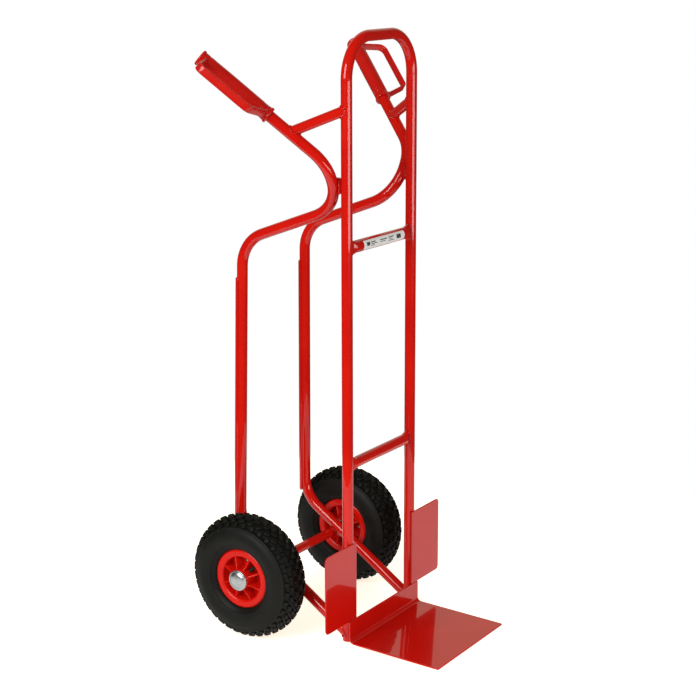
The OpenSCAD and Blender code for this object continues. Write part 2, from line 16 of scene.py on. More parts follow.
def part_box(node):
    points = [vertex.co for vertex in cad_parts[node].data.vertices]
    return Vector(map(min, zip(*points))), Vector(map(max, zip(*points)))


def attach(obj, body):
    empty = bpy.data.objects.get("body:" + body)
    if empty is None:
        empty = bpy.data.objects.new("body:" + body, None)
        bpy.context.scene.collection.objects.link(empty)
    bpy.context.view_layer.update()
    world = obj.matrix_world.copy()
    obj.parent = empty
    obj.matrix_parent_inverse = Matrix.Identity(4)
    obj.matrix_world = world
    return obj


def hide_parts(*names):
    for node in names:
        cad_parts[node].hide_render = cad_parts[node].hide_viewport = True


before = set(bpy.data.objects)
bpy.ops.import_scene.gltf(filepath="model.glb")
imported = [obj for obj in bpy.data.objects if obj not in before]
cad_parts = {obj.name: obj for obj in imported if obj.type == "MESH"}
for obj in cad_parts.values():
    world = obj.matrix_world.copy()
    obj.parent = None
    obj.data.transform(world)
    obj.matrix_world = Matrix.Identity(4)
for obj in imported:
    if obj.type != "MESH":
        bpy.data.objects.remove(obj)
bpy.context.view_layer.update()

MM = 0.001
LEFT, RIGHT = 1, -1


def cad_box(node):
    """Lowest and highest corner of a CAD node, in millimetres."""
    low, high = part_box(node)
    return np.array(low) / MM, np.array(high) / MM


# ---- sizes, from the frame and the part's source ----

hoop_low, hoop_high = cad_box("main_hoop")
axle_low, axle_high = cad_box("axle")
tyre_low, tyre_high = cad_box("tyre_left")
plate_low = cad_box("toe_plate")[0]
wing_low, wing_high = cad_box("wing_left")
bar_low, bar_high = cad_box("upper_cross_bar")
low_bar_low, low_bar_high = cad_box("lower_cross_bar")

TUBE_R = 11.0
TUBE_WALL = 1.5
WELD_GAP = 0.2
UPRIGHT_Y = (hoop_low[1] + hoop_high[1]) / 2
UPRIGHT_X = 119.0
HOOP_TOP = 1222.0
AXLE_R = 10.0
AXLE_Y = (axle_low[1] + axle_high[1]) / 2
AXLE_Z = (axle_low[2] + axle_high[2]) / 2
AXLE_HALF = axle_high[0]
WHEEL_X = (tyre_low[0] + tyre_high[0]) / 2
WHEEL_R = (tyre_high[2] - tyre_low[2]) / 2
CASING_R = (tyre_high[0] - tyre_low[0]) / 2
SECTION_R = WHEEL_R - CASING_R
HUB_HALF = 37.0


def unit(v):
    v = np.asarray(v, float)
    return v / np.linalg.norm(v)


def from_axes(p):
    """A point of the source, counted from the uprights' axes, in the frame."""
    return np.array([p[0], p[1] + UPRIGHT_Y, p[2]], float)


# Left side tube, from the handle's end to its foot on the upright
SIDE_CORNERS = [from_axes(p) for p in (
    (265.0, 228.5, 1173.572), (152.0, 24.5, 977.0), (104.0, 24.5, 889.0),
    (110.0, 255.0, 803.0), (119.0, 265.0, 203.0), (119.0, 0.0, 21.35))]
SIDE_BENDS = [84.0, 84.0, 74.0, 75.0]
HANDLE_LEN = 305.0
GRIP_LEN = 170.0
HANDLE_BASE = SIDE_CORNERS[1]
HANDLE_DIR = unit(SIDE_CORNERS[0] - HANDLE_BASE)
BRACE_HEAD = HANDLE_BASE + HANDLE_DIR * 91.0
BRACE_FOOT = from_axes((UPRIGHT_X, 0.0, 1077.0))

# ---- camera ----

AZIMUTH, ELEVATION, ROLL = (math.radians(a) for a in (-57.02, 13.61, -0.18))
camera_data = bpy.data.cameras.new("camera")
camera_data.sensor_width = 36.0
camera_data.lens = 86.91
camera_data.clip_start, camera_data.clip_end = 0.05, 60.0
camera = bpy.data.objects.new("camera", camera_data)
bpy.context.scene.collection.objects.link(camera)
back = Vector((math.sin(AZIMUTH) * math.cos(ELEVATION),
               -math.cos(AZIMUTH) * math.cos(ELEVATION), math.sin(ELEVATION)))
right = Vector((math.cos(AZIMUTH), math.sin(AZIMUTH), 0.0))
up = back.cross(right)
right, up = (right * math.cos(ROLL) + up * math.sin(ROLL),
             up * math.cos(ROLL) - right * math.sin(ROLL))
axes = Matrix((right, up, back)).transposed()
camera.matrix_world = (Matrix.Translation((-2.7795, -1.7816, 1.3848))
                       @ axes.to_4x4())
bpy.context.scene.camera = camera
bpy.context.scene.view_settings.view_transform = "Standard"


# ---- nodes ----

def add_node(tree, kind, inputs=None, **settings):
    """Adds a node with its settings; an input is a value or a socket."""
    node = tree.nodes.new(kind)
    for name, value in settings.items():
        setattr(node, name, value)
    for name, value in (inputs or {}).items():
        socket = node.inputs[name]
        if isinstance(value, bpy.types.NodeSocket):
            tree.links.new(value, socket)
        else:
            socket.default_value = value
    return node


def linear(code):
    """A colour written as sRGB hex, as linear RGBA."""
    parts = [int(code[i:i + 2], 16) / 255 for i in (0, 2, 4)]
    return tuple(p / 12.92 if p <= 0.04045 else ((p + 0.055) / 1.055) ** 2.4
                 for p in parts) + (1.0,)


def ramp(tree, value, stops):
    """A ramp of greys; stops are (place, grey)."""
    node = add_node(tree, "ShaderNodeValToRGB", {"Fac": value})
    band = node.color_ramp.elements
    while len(band) < len(stops):
        band.new(1.0)
    for element, (place, grey) in zip(band, stops):
        element.position = place
        element.color = (grey, grey, grey, 1.0)
    return node.outputs["Color"]


def new_material(name, **constants):
    """A material with a Principled shader; constants go on its sockets."""
    material = bpy.data.materials.new(name)
    material.use_nodes = True
    tree = material.node_tree
    shader = tree.nodes["Principled BSDF"]
    for socket, value in constants.items():
        shader.inputs[socket.replace("_", " ")].default_value = value
    place = add_node(tree, "ShaderNodeTexCoord").outputs["Object"]
    return material, tree, shader, place


def calc(tree, operation, *values):
    """One Math node over values or sockets."""
    return add_node(tree, "ShaderNodeMath", dict(enumerate(values)),
                    operation=operation).outputs["Value"]


def mixed(tree, share, a, b, **settings):
    """A colour between two, each a hex code, RGBA or a socket."""
    a, b = (linear(c) if isinstance(c, str) else c for c in (a, b))
    return add_node(tree, "ShaderNodeMix", {"Factor": share, "A": a, "B": b},
                    data_type="RGBA", **settings).outputs["Result"]


def spread(tree, value, low, high, **limits):
    """The value, normally 0 to 1, stretched to run from low to high."""
    inputs = {"Value": value, "To Min": low, "To Max": high}
    inputs.update((name.replace("_", " "), v) for name, v in limits.items())
    return add_node(tree, "ShaderNodeMapRange", inputs).outputs["Result"]


def noise(tree, place, length, detail, **more):
    """Noise whose features are about this long, in millimetres."""
    return add_node(tree, "ShaderNodeTexNoise", {
        "Vector": place, "Scale": 1.0 / (length * MM), "Detail": detail,
        **more}).outputs["Fac"]


def bumped(tree, shader, height, strength, depth):
    """Bumps the shader's normal; depth is in millimetres."""
    normal = add_node(tree, "ShaderNodeBump", {
        "Height": height, "Strength": strength,
        "Distance": depth * MM}).outputs["Normal"]
    tree.links.new(normal, shader.inputs["Normal"])
    return normal


def wired(tree, shader, colour, rough):
    """Feeds the shader its base colour and its roughness."""
    tree.links.new(colour, shader.inputs["Base Color"])
    tree.links.new(rough, shader.inputs["Roughness"])


def gloss_enamel(name, deep, bright, peel):
    """Polyester gloss powder coat on steel, stoved: a hard wet-looking red
    skin with faint orange peel that mirrors what is near it. Rubbed spots,
    where the piece's wear attribute is high, are duller and a little dark."""
    material, tree, shader, place = new_material(
        name, IOR=1.5, Coat_Weight=1.0, Coat_Roughness=0.03, Coat_IOR=1.42,
        Specular_IOR_Level=0.08)
    cloud = ramp(tree, noise(tree, place, 90.0, 3.0),
                 [(0.35, 0.0), (0.65, 1.0)])
    worn = add_node(tree, "ShaderNodeAttribute", attribute_name="wear")
    amount = calc(tree, "MULTIPLY", worn.outputs["Fac"],
                  noise(tree, place, 4.0, 6.0, Roughness=0.75))
    paint = mixed(tree, cloud, deep, bright)
    rubbed = mixed(tree, ramp(tree, amount, [(0.38, 0.0), (0.52, 0.55)]),
                   paint, "6b1712")
    wired(tree, shader, rubbed,
          spread(tree, amount, 0.22, 0.5, From_Min=0.2, From_Max=0.6))
    skin = noise(tree, place, 3.2, 1.5, Roughness=0.4)
    tree.links.new(bumped(tree, shader, skin, peel, 0.04),
                   shader.inputs["Coat Normal"])
    return material


def moulded_polypropylene():
    """Injection-moulded polypropylene of the rims: bright red, satin, with
    the mould's fine grain and slow flow marks round the hub."""
    material, tree, shader, place = new_material(
        "red_moulded_polypropylene", IOR=1.49, Specular_IOR_Level=0.12,
        Coat_Weight=0.2, Coat_Roughness=0.12)
    flow = noise(tree, place, 38.0, 4.0, Distortion=1.2)
    wired(tree, shader, mixed(tree, flow, "c40f05", "d81708"),
          spread(tree, flow, 0.24, 0.38))
    bumped(tree, shader, noise(tree, place, 0.9, 2.0), 0.25, 0.06)
    return material


def dipped_grip():
    """Moulded soft PVC of the grips: red, a little deeper than the enamel,
    with the slow ripple of a soft skin that has been gripped."""
    material, tree, shader, place = new_material(
        "red_soft_pvc", IOR=1.53, Specular_IOR_Level=0.15,
        Coat_Weight=0.6, Coat_Roughness=0.1)
    cloud = noise(tree, place, 30.0, 3.0)
    wired(tree, shader, mixed(tree, cloud, "ba0e06", "ca1608"),
          spread(tree, cloud, 0.26, 0.4))
    bumped(tree, shader, noise(tree, place, 7.0, 1.0), 0.12, 0.08)
    return material


def tread_rubber(name, tone, light, rough):
    """Vulcanised natural rubber filled with carbon black: a soft near-black
    with greyer bloom, a sheen at grazing angles and a faint cast texture."""
    material, tree, shader, place = new_material(
        name, IOR=1.52, Specular_IOR_Level=0.2, Sheen_Weight=0.01,
        Sheen_Roughness=0.4)
    bloom = noise(tree, place, 26.0, 6.0, Roughness=0.65)
    patches = ramp(tree, bloom, [(0.3, 0.0), (0.75, 1.0)])
    wired(tree, shader, mixed(tree, patches, tone, light),
          spread(tree, bloom, rough - 0.08, rough + 0.12))
    bumped(tree, shader, noise(tree, place, 1.2, 4.0), 0.35, 0.12)
    return material


def plated_metal(name, tone, dark, rough, scratch):
    """Bright zinc plate or ground steel: a pale metal with a slow mottle and
    fine scratches that stretch its reflections."""
    material, tree, shader, place = new_material(name, Metallic=1.0)
    mottle = noise(tree, place, 9.0, 5.0)
    stretch = add_node(tree, "ShaderNodeMapping", {
        "Vector": place, "Scale": (1.0, 1.0, 14.0)})
    hair = noise(tree, stretch.outputs["Vector"], 3.0, 4.0)
    wired(tree, shader, mixed(tree, mottle, dark, tone),
          spread(tree, hair, rough * 0.6, rough * 1.5))
    bumped(tree, shader, hair, scratch, 0.03)
    return material


enamel = gloss_enamel("red_gloss_enamel", "c40f05", "ce1507", 0.035)
plate_enamel = gloss_enamel("red_gloss_enamel_sheet", "c20e05", "c81006",
                            0.015)
weld_enamel = gloss_enamel("red_gloss_enamel_weld", "b00c05", "c41006", 0.04)
polypropylene = moulded_polypropylene()
soft_pvc = dipped_grip()
rubber = tread_rubber("tyre_rubber", "080906", "10110c", 0.5)
tube_rubber = tread_rubber("butyl_tube_rubber", "191919", "2b2b2b", 0.6)
valve_rubber = tread_rubber("valve_rubber", "0a0a0a", "141414", 0.45)
zinc = plated_metal("bright_zinc_plate", "ccd2d2", "a9b0b1", 0.3, 0.15)
bearing_steel = plated_metal("ground_bearing_steel", "b9bcc0", "8f9398",
                             0.2, 0.3)


# ---- shapes: (points, faces) ----

def joined(*shapes):
    """Several shapes as one."""
    points, faces = [], []
    for shape_points, shape_faces in shapes:
        start = len(points)
        points += [tuple(p) for p in shape_points]
        faces += [[i + start for i in face] for face in shape_faces]
    return points, faces


def moved(shape, change):
    """The shape with each point changed by the function."""
    points, faces = shape
    return [tuple(change(np.asarray(p, float))) for p in points], faces


def flipped_x(shape):
    """The other side's copy of a left-hand shape."""
    points, faces = shape
    return ([(-p[0], p[1], p[2]) for p in points],
            [face[::-1] for face in faces])


def sides(shape, side):
    return shape if side == LEFT else flipped_x(shape)


def loft(rings, endless=False):
    """Skin over rings of equally many points. Its ends are closed, or the
    last ring joins the first."""
    count = len(rings[0])
    points = [tuple(p) for ring in rings for p in ring]
    faces = []
    spans = len(rings) if endless else len(rings) - 1
    for i in range(spans):
        a, b = i * count, (i + 1) % len(rings) * count
        for k in range(count):
            n = (k + 1) % count
            faces.append([a + k, a + n, b + n, b + k])
    if not endless:
        faces.append(list(range(count))[::-1])
        faces.append([(len(rings) - 1) * count + k for k in range(count)])
    return points, faces


def revolve(profile, count):
    """Solid of a closed profile of (radius, z) turned about +Z. A point on
    the axis becomes a single vertex."""
    points, faces, rows = [], [], []
    for radius, z in profile:
        if radius < 1e-6:
            rows.append([len(points)])
            points.append((0.0, 0.0, z))
        else:
            rows.append([len(points) + k for k in range(count)])
            points += [(radius * math.cos(2 * math.pi * k / count),
                        radius * math.sin(2 * math.pi * k / count), z)
                       for k in range(count)]
    for a, b in zip(rows, rows[1:] + rows[:1]):
        if len(a) == 1 and len(b) == 1:
            continue
        for k in range(count):
            n = (k + 1) % count
            if len(a) == 1:
                faces.append([a[0], b[n], b[k]])
            elif len(b) == 1:
                faces.append([a[k], a[n], b[0]])
            else:
                faces.append([a[k], a[n], b[n], b[k]])
    return points, faces


def filleted(corners, step=15.0):
    """Closed outline of (x, y, radius) corners with the corners rounded."""
    count, outline = len(corners), []
    for i, (x, y, radius) in enumerate(corners):
        here = np.array([x, y], float)
        if radius <= 0:
            outline.append(tuple(here))
            continue
        before = np.array(corners[i - 1][:2], float)
        after = np.array(corners[(i + 1) % count][:2], float)
        arriving, leaving = unit(here - before), unit(after - here)
        turn = math.acos(np.clip(arriving @ leaving, -1, 1))
        if turn < 1e-4:
            outline.append(tuple(here))
            continue
        take = radius * math.tan(turn / 2)
        room = 0.499 * min(np.linalg.norm(here - before),
                           np.linalg.norm(after - here))
        if take > room:
            radius, take = radius * room / take, room
        inward = unit(leaving - (leaving @ arriving) * arriving)
        start = here - arriving * take
        steps = max(1, round(math.degrees(turn) / step))
        for k in range(steps + 1):
            a = turn * k / steps
            outline.append(tuple(start + radius * (
                (1 - math.cos(a)) * inward + math.sin(a) * arriving)))
    return outline


def centre_line(corners, radii, turn=3.0):
    """Points and directions of a bent line with rounded corners. A point
    just outside each bend keeps the straight runs' normals straight."""
    corners = [np.asarray(c, float) for c in corners]
    points = [corners[0]]
    ways = [unit(corners[1] - corners[0])]
    for before, corner, after, radius in zip(corners, corners[1:],
                                             corners[2:], radii):
        arriving, leaving = unit(corner - before), unit(after - corner)
        angle = math.acos(arriving @ leaving)
        start = corner - arriving * radius * math.tan(angle / 2)
        inward = unit(leaving - (leaving @ arriving) * arriving)
        steps = max(2, round(math.degrees(angle) / turn))
        points.append(start - arriving)
        ways.append(arriving)
        for k in range(steps + 1):
            a = angle * k / steps
            points.append(start + radius * (
                (1 - math.cos(a)) * inward + math.sin(a) * arriving))
            ways.append(math.sin(a) * inward + math.cos(a) * arriving)
        points.append(points[-1] + leaving)
        ways.append(leaving)
    points.append(corners[-1])
    ways.append(unit(corners[-1] - corners[-2]))
    return points, ways


def carried_axes(ways, first):
    """Cross axes carried along a line without twisting."""
    normal = np.asarray(first, float)
    axes = []
    for way in ways:
        normal = unit(normal - (normal @ way) * way)
        axes.append((normal, np.cross(way, normal)))
    return axes


def tube_rings(points, ways, radius, first, count=48):
    angles = [2 * math.pi * k / count for k in range(count)]
    return [[p + radius * (math.cos(a) * n + math.sin(a) * b) for a in angles]
            for p, (n, b) in zip(points, carried_axes(ways, first))]


def tube(corners, radii, radius, wall, first, cut_start=None, cut_end=None):
    """Bent tube with its wall; a cut moves an end ring's points."""
    points, ways = centre_line(corners, radii)
    skins = []
    for r in (radius, radius - wall):
        rings = tube_rings(points, ways, r, first)
        if cut_start:
            rings[0] = [cut_start(p, -ways[0]) for p in rings[0]]
        if cut_end:
            rings[-1] = [cut_end(p, ways[-1]) for p in rings[-1]]
        skins.append(rings)
    return loft(skins[0] + skins[1][::-1], endless=True)


def to_cylinder(point, way, centre, axis, radius):
    """Where the line through a point along way first meets a cylinder."""
    w = way - (way @ axis) * axis
    d = (point - centre) - ((point - centre) @ axis) * axis
    a, b, c = w @ w, 2 * (w @ d), d @ d - radius * radius
    root = b * b - 4 * a * c
    if root < 0:
        root = 0.0
    return point + way * (-b - math.sqrt(root)) / (2 * a)


def rounded_box_ring(half_w, half_h, radius, steps=3):
    radius = min(radius, half_w * 0.999, half_h * 0.999)
    ring = []
    for sx, sy, start in ((1, 1, 0), (-1, 1, 90), (-1, -1, 180), (1, -1, 270)):
        for k in range(steps + 1):
            a = math.radians(start + 90.0 * k / steps)
            ring.append((sx * (half_w - radius) + radius * math.cos(a),
                         sy * (half_h - radius) + radius * math.sin(a)))
    return ring


# ---- pieces ----

def piece(name, shape, body, slot, finish, stands_for=(), crease=38.0,
          wear=None):
    """Makes the shape a piece that rides on a body and takes a finish."""
    points, faces = shape
    points = np.asarray(points, float)
    mesh = bpy.data.meshes.new(name)
    mesh.from_pydata((points * MM).tolist(), [], faces)
    worked = bmesh.new()
    worked.from_mesh(mesh)
    bmesh.ops.recalc_face_normals(worked, faces=worked.faces)
    worked.to_mesh(mesh)
    worked.free()
    if wear is not None:
        values = np.array([wear(p) for p in points], np.float32)
        layer = mesh.attributes.new("wear", "FLOAT", "POINT")
        layer.data.foreach_set("value", values)
    mesh.shade_smooth()
    mesh.set_sharp_from_angle(angle=math.radians(crease))
    mesh.materials.append(finish)
    item = bpy.data.objects.new(name, mesh)
    bpy.context.scene.collection.objects.link(item)
    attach(item, body)
    if stands_for:
        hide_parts(*stands_for)
    return item


def side_name(side):
    return "left" if side == LEFT else "right"


def pair(name, shape, slot, finish, stands_for, **more):
    """The left-hand shape and its mirror copy as two pieces of the frame."""
    for side in (LEFT, RIGHT):
        label = side_name(side)
        piece(f"{name}_{label}", sides(shape, side), "frame", slot, finish,
              [f"{stands_for}_{label}"], **more)


X_AXIS, Y_AXIS, Z_AXIS = np.eye(3)

# Hoop and uprights
hoop_corners = [from_axes(p) for p in (
    (-UPRIGHT_X, 0, 8), (-UPRIGHT_X, 0, HOOP_TOP - TUBE_R),
    (UPRIGHT_X, 0, HOOP_TOP - TUBE_R), (UPRIGHT_X, 0, 8))]
piece("hoop", tube(hoop_corners, [79.0, 79.0], TUBE_R, TUBE_WALL, Y_AXIS),
      "frame", "red_enamel", enamel, ["main_hoop"],
      wear=lambda p: max(0.0, 1.0 - p[2] / 60.0) * 0.6)


def onto_upright(point, way, gap=0.0):
    centre = from_axes((UPRIGHT_X, 0, 0))
    return to_cylinder(point, way, centre, Z_AXIS, TUBE_R + gap)


def onto_handle(point, way):
    return to_cylinder(point, way, HANDLE_BASE, HANDLE_DIR, TUBE_R)


side_shape = tube(SIDE_CORNERS, SIDE_BENDS, TUBE_R, TUBE_WALL, X_AXIS,
                  cut_end=lambda p, w: onto_upright(p - w * 60.0, w))
brace_shape = tube([BRACE_FOOT, BRACE_HEAD], [], 10.0, TUBE_WALL, Y_AXIS,
                   cut_start=lambda p, w: onto_upright(p - w * 50.0, w),
                   cut_end=lambda p, w: onto_handle(p - w * 50.0, w))
pair("side_tube_shaped", side_shape, "red_enamel", enamel, "side_tube")
pair("brace", brace_shape, "red_enamel", enamel, "handle_brace")


# Cross bars: round in the middle, pressed to an upright oval at the ends
PRESSED_LEN, PRESSED_TALL, PRESSED_THICK = 26.0, 32.0, 12.0


def bar_outline(share, radius, tall, thick, count=48):
    """Section between a circle (share 0) and a flat-sided oval (share 1)."""
    outline = []
    flat = (tall - thick) / 2
    for k in range(count):
        a = 2 * math.pi * k / count
        c, s = math.cos(a), math.sin(a)
        oval = np.array([thick / 2 * c,
                         thick / 2 * s + math.copysign(flat, s)
                         * min(1.0, abs(s) * 3)])
        outline.append((1 - share) * radius * np.array([c, s])
                       + share * oval)
    return outline


def cross_bar(z, radius):
    span = UPRIGHT_X - PRESSED_LEN
    shares = [0.0] + [k / 10 for k in range(11)]
    xs = [0.0] + [span + PRESSED_LEN * k / 10 * 0.62 for k in range(11)]
    rings = []
    for x, share in zip(xs, shares):
        smooth = share * share * (3 - 2 * share)
        rings.append([from_axes((x, c, z + s)) for c, s in bar_outline(
            smooth, radius, PRESSED_TALL, PRESSED_THICK)])
    rings[-1] = [onto_upright(p - X_AXIS * 30.0, X_AXIS) for p in rings[-1]]
    mirrored = [[np.array([-p[0], p[1], p[2]]) for p in ring]
                for ring in rings[:0:-1]]
    return loft(mirrored + rings[1:]), rings[-1]


upper_bar_z = (bar_low[2] + bar_high[2]) / 2
lower_bar_z = (low_bar_low[2] + low_bar_high[2]) / 2
upper_bar, upper_seam = cross_bar(upper_bar_z, 12.0)
lower_bar, lower_seam = cross_bar(lower_bar_z, 11.0)
piece("cross_bar_upper", upper_bar, "frame", "red_enamel", enamel,
      ["upper_cross_bar"])
piece("cross_bar_lower", lower_bar, "frame", "red_enamel", enamel,
      ["lower_cross_bar"])


# Sticker: thin film round the front of the upper bar
def sticker_shape():
    rings = []
    for x in np.linspace(-75.0, 75.0, 61):
        edge = 0.0 if abs(x) < 74.9 else 0.08
        outline = []
        for r, turn in ((12.28 - edge, 1), (12.02, -1)):
            for a in np.linspace(-50.0, 50.0, 21)[::turn]:
                w = math.radians(a)
                outline.append(from_axes((x, -r * math.cos(w),
                                          upper_bar_z + r * math.sin(w))))
        rings.append(outline)
    return loft(rings)


def printed_film():
    """Glossy white vinyl film with a generic printed layout of plain grey
    bars and two plain squares."""
    material, tree, shader, place = new_material(
        "white_vinyl_film", Roughness=0.3, IOR=1.45, Coat_Weight=0.6,
        Coat_Roughness=0.08)
    parts = add_node(tree, "ShaderNodeSeparateXYZ",
                     {"Vector": place}).outputs

    def between(value, low, high):
        return calc(tree, "MULTIPLY", calc(tree, "GREATER_THAN", value, low),
                    calc(tree, "LESS_THAN", value, high))

    def block(x0, x1, z0, z1):
        """One printed rectangle, in millimetres from the bar's middle."""
        return calc(tree, "MULTIPLY",
                    between(parts["X"], x0 * MM, x1 * MM),
                    between(parts["Z"], (upper_bar_z + z0) * MM,
                            (upper_bar_z + z1) * MM))

    ink = 0.0
    for corners in ((-66, -54, -1.5, 5.5), (-50, -34, 3.0, 5.0),
                    (-50, -28, -0.2, 1.4), (-50, -38, -3.4, -1.8),
                    (-18, 8, 2.6, 4.4), (-18, 2, -0.6, 0.8),
                    (14, 34, 3.4, 5.2), (14, 28, 0.2, 1.6),
                    (14, 36, -3.2, -1.8), (44, 60, -3.0, 5.5)):
        ink = calc(tree, "MAXIMUM", ink, block(*corners))
    paper = mixed(tree, noise(tree, place, 12.0, 5.0), "fbfaf7", "efeeea")
    tree.links.new(mixed(tree, ink, paper, "4a4a4c"),
                   shader.inputs["Base Color"])
    return material


piece("sticker", sticker_shape(), "frame", "label_film", printed_film(),
      ["label"])


# Skids: half shells on the backs of the legs, with worn, rounded ends
SKID_FOOT, SKID_HEAD, SKID_WALL, SKID_HALF_DEG = 216.0, 728.0, 2.5, 85.0
SKID_EDGE = 1.8


def skid_shape():
    leg_dir = unit(SIDE_CORNERS[3] - SIDE_CORNERS[4])
    across_y = unit(Y_AXIS - leg_dir * leg_dir[1])
    across_x = np.cross(across_y, leg_dir)

    def at(z):
        knee = SIDE_CORNERS[4]
        return knee + leg_dir * (z - knee[2]) / leg_dir[2]

    low, high = at(SKID_FOOT), at(SKID_HEAD)
    length = np.linalg.norm(high - low)
    rings = []
    inner = TUBE_R + WELD_GAP
    outer = inner + SKID_WALL
    steps = [0.0, 0.4, 1.0, SKID_EDGE]
    spots = steps + list(np.linspace(6.0, length - 6.0, 24)) + [
        length - s for s in steps[::-1]]
    for s in spots:
        edge = min(s, length - s, SKID_EDGE) / SKID_EDGE
        thin = 1.1 * (1 - math.sqrt(max(0.0, 1 - (1 - edge) ** 2)))
        half = SKID_HALF_DEG - thin * 3.0
        ring = []
        for r, turn, cut in ((outer - thin, 1, 3.0), (inner, -1, 0.0)):
            for a in np.linspace(-half + cut, half - cut, 25)[::turn]:
                w = math.radians(90.0 + a)
                ring.append(low + leg_dir * s + r * (
                    math.cos(w) * across_x + math.sin(w) * across_y))
        rings.append(ring)
    return loft(rings)


pair("skid_shell", skid_shape(), "red_enamel", enamel, "skid",
     wear=lambda p: 0.28 + 0.2 * math.sin(p[2] / 47.0))


# Sheet pieces: rows of rounded sections along the sheet
def sheet(rows, edge):
    """Rows are (middle, across, normal, half width, half thickness). Points
    just inside the rounded edges keep the faces' normals flat."""
    rings = []
    for middle, across, normal, half_w, half_t in rows:
        outline = rounded_box_ring(half_w, half_t, edge)
        flat = half_w - edge - 1.0
        outline = (outline[:4] + [(flat, half_t), (-flat, half_t)]
                   + outline[4:12] + [(-flat, -half_t), (flat, -half_t)]
                   + outline[12:])
        rings.append([middle + across * u + normal * v for u, v in outline])
    return loft(rings)


def eased(distance, radius):
    """How much a rounded corner of this radius takes off near an end."""
    if distance >= radius:
        return 0.0
    return radius - math.sqrt(max(0.0, radius ** 2
                                  - (radius - distance) ** 2))


PLATE_THICK, PLATE_EDGE, PLATE_HALF_W = 3.0, 0.9, 134.0
PLATE_SLOPE = math.radians(2.04526)
FOLD_R = 10.5
FOLD_CENTRE = np.array([-23.2, 19.0])
BLADE_LEN, FLANGE_Y, FLANGE_TOP = 196.35, -12.7, 55.0


def toe_plate_shape():
    """Blade, fold and flange along the middle of the sheet. The section
    lies in the (y, z) plane, with y counted from the uprights' axes."""
    down, along_y = math.sin(PLATE_SLOPE), math.cos(PLATE_SLOPE)
    tangent = FOLD_CENTRE + FOLD_R * np.array([down, -along_y])
    front = tangent - BLADE_LEN * np.array([along_y, down])
    reach = (FLANGE_Y - tangent[0]) / along_y
    corner = tangent + reach * np.array([along_y, down])
    path = [from_axes((0, y, z)) for y, z in (
        front, corner, (FLANGE_Y, FLANGE_TOP))]
    points, ways = centre_line(path, [FOLD_R], turn=6.0)
    steps = [np.linalg.norm(b - a) for a, b in zip(points, points[1:])]
    length = sum(steps)
    stations = list(zip(np.cumsum([0.0] + steps), points, ways))
    for s in (0.15, 0.4, 0.9, 1.6, 2.4, 3.2, 4.0, 60.0, 130.0):
        stations.append((s, points[0] + ways[0] * s, ways[0]))
        if s < 5:
            stations.append((length - s, points[-1] - ways[-1] * s,
                             ways[-1]))
    stations.sort(key=lambda row: row[0])
    rows = []
    for s, p, w in stations:
        normal = np.cross(X_AXIS, w)
        from_end = min(s, length - s)
        half_w = PLATE_HALF_W - eased(from_end, 4.0 if s < 50 else 3.0)
        half_t = PLATE_THICK / 2 - eased(from_end, PLATE_EDGE)
        rows.append((p, X_AXIS, normal, half_w, half_t))
    return sheet(rows, PLATE_EDGE)


def plate_wear(p):
    """The blade's front edge is rubbed first, and its side edges less."""
    front = max(0.0, 1.0 - (p[1] - plate_low[1]) / 6.0)
    rim = max(0.0, 1.0 - (PLATE_HALF_W - abs(p[0])) / 2.0)
    return 0.55 * max(front, 0.5 * rim)


piece("toe_plate_folded", toe_plate_shape(), "frame", "red_enamel",
      plate_enamel, ["toe_plate"], crease=50.0, wear=plate_wear)


def wing_shape():
    thick, edge = 2.5, 0.8
    inner, outer = wing_low[0], wing_high[0]
    bottom, top = wing_low[2], wing_high[2]
    y = (wing_low[1] + wing_high[1]) / 2
    rows = []
    offsets = [0.0, 0.12, 0.35, 0.8, 1.6, 2.6, 3.8, 5.2, 6.8, 8.4, 10.0]
    spots = ([bottom + o for o in offsets]
             + list(np.linspace(bottom + 10, top - 10, 6)[1:-1])
             + [top - o for o in offsets[::-1]])
    for z in spots:
        from_end = min(z - bottom, top - z)
        right_x = outer - eased(from_end, 10.0)
        left_x = inner + eased(from_end, 1.5)
        rows.append((np.array([(left_x + right_x) / 2, y, z]), X_AXIS,
                     Y_AXIS, (right_x - left_x) / 2,
                     thick / 2 - eased(from_end, edge)))
    return sheet(rows, edge)


pair("wing_plate", wing_shape(), "red_enamel", plate_enamel, "wing",
     crease=50.0,
     wear=lambda p: 0.3 if abs(p[0]) > wing_high[0] - 2 else 0.0)

# ---- grips ----

bow_flat = unit(np.cross(HANDLE_DIR, np.cross(X_AXIS, HANDLE_DIR)))
bow_side = unit(np.cross(HANDLE_DIR, bow_flat))
BOW_TILT = math.radians(15.0)
BOW_REACH, BOW_WIDTH = 68.0, 15.5
BOW_TOP_DROP, BOW_ROOT, BOW_SLANT = 13.0, 9.0, 28.0
BOW_DIR = bow_flat * math.cos(BOW_TILT) - bow_side * math.sin(BOW_TILT)
BOW_WIDE = np.cross(HANDLE_DIR, BOW_DIR)
GRIP_LOW = HANDLE_BASE + HANDLE_DIR * (HANDLE_LEN - GRIP_LEN + 4.1)


def on_grip(p):
    """From (towards the bow, across it, along the handle) to the frame."""
    return (GRIP_LOW + BOW_DIR * p[0] + BOW_WIDE * p[1]
            + HANDLE_DIR * p[2])


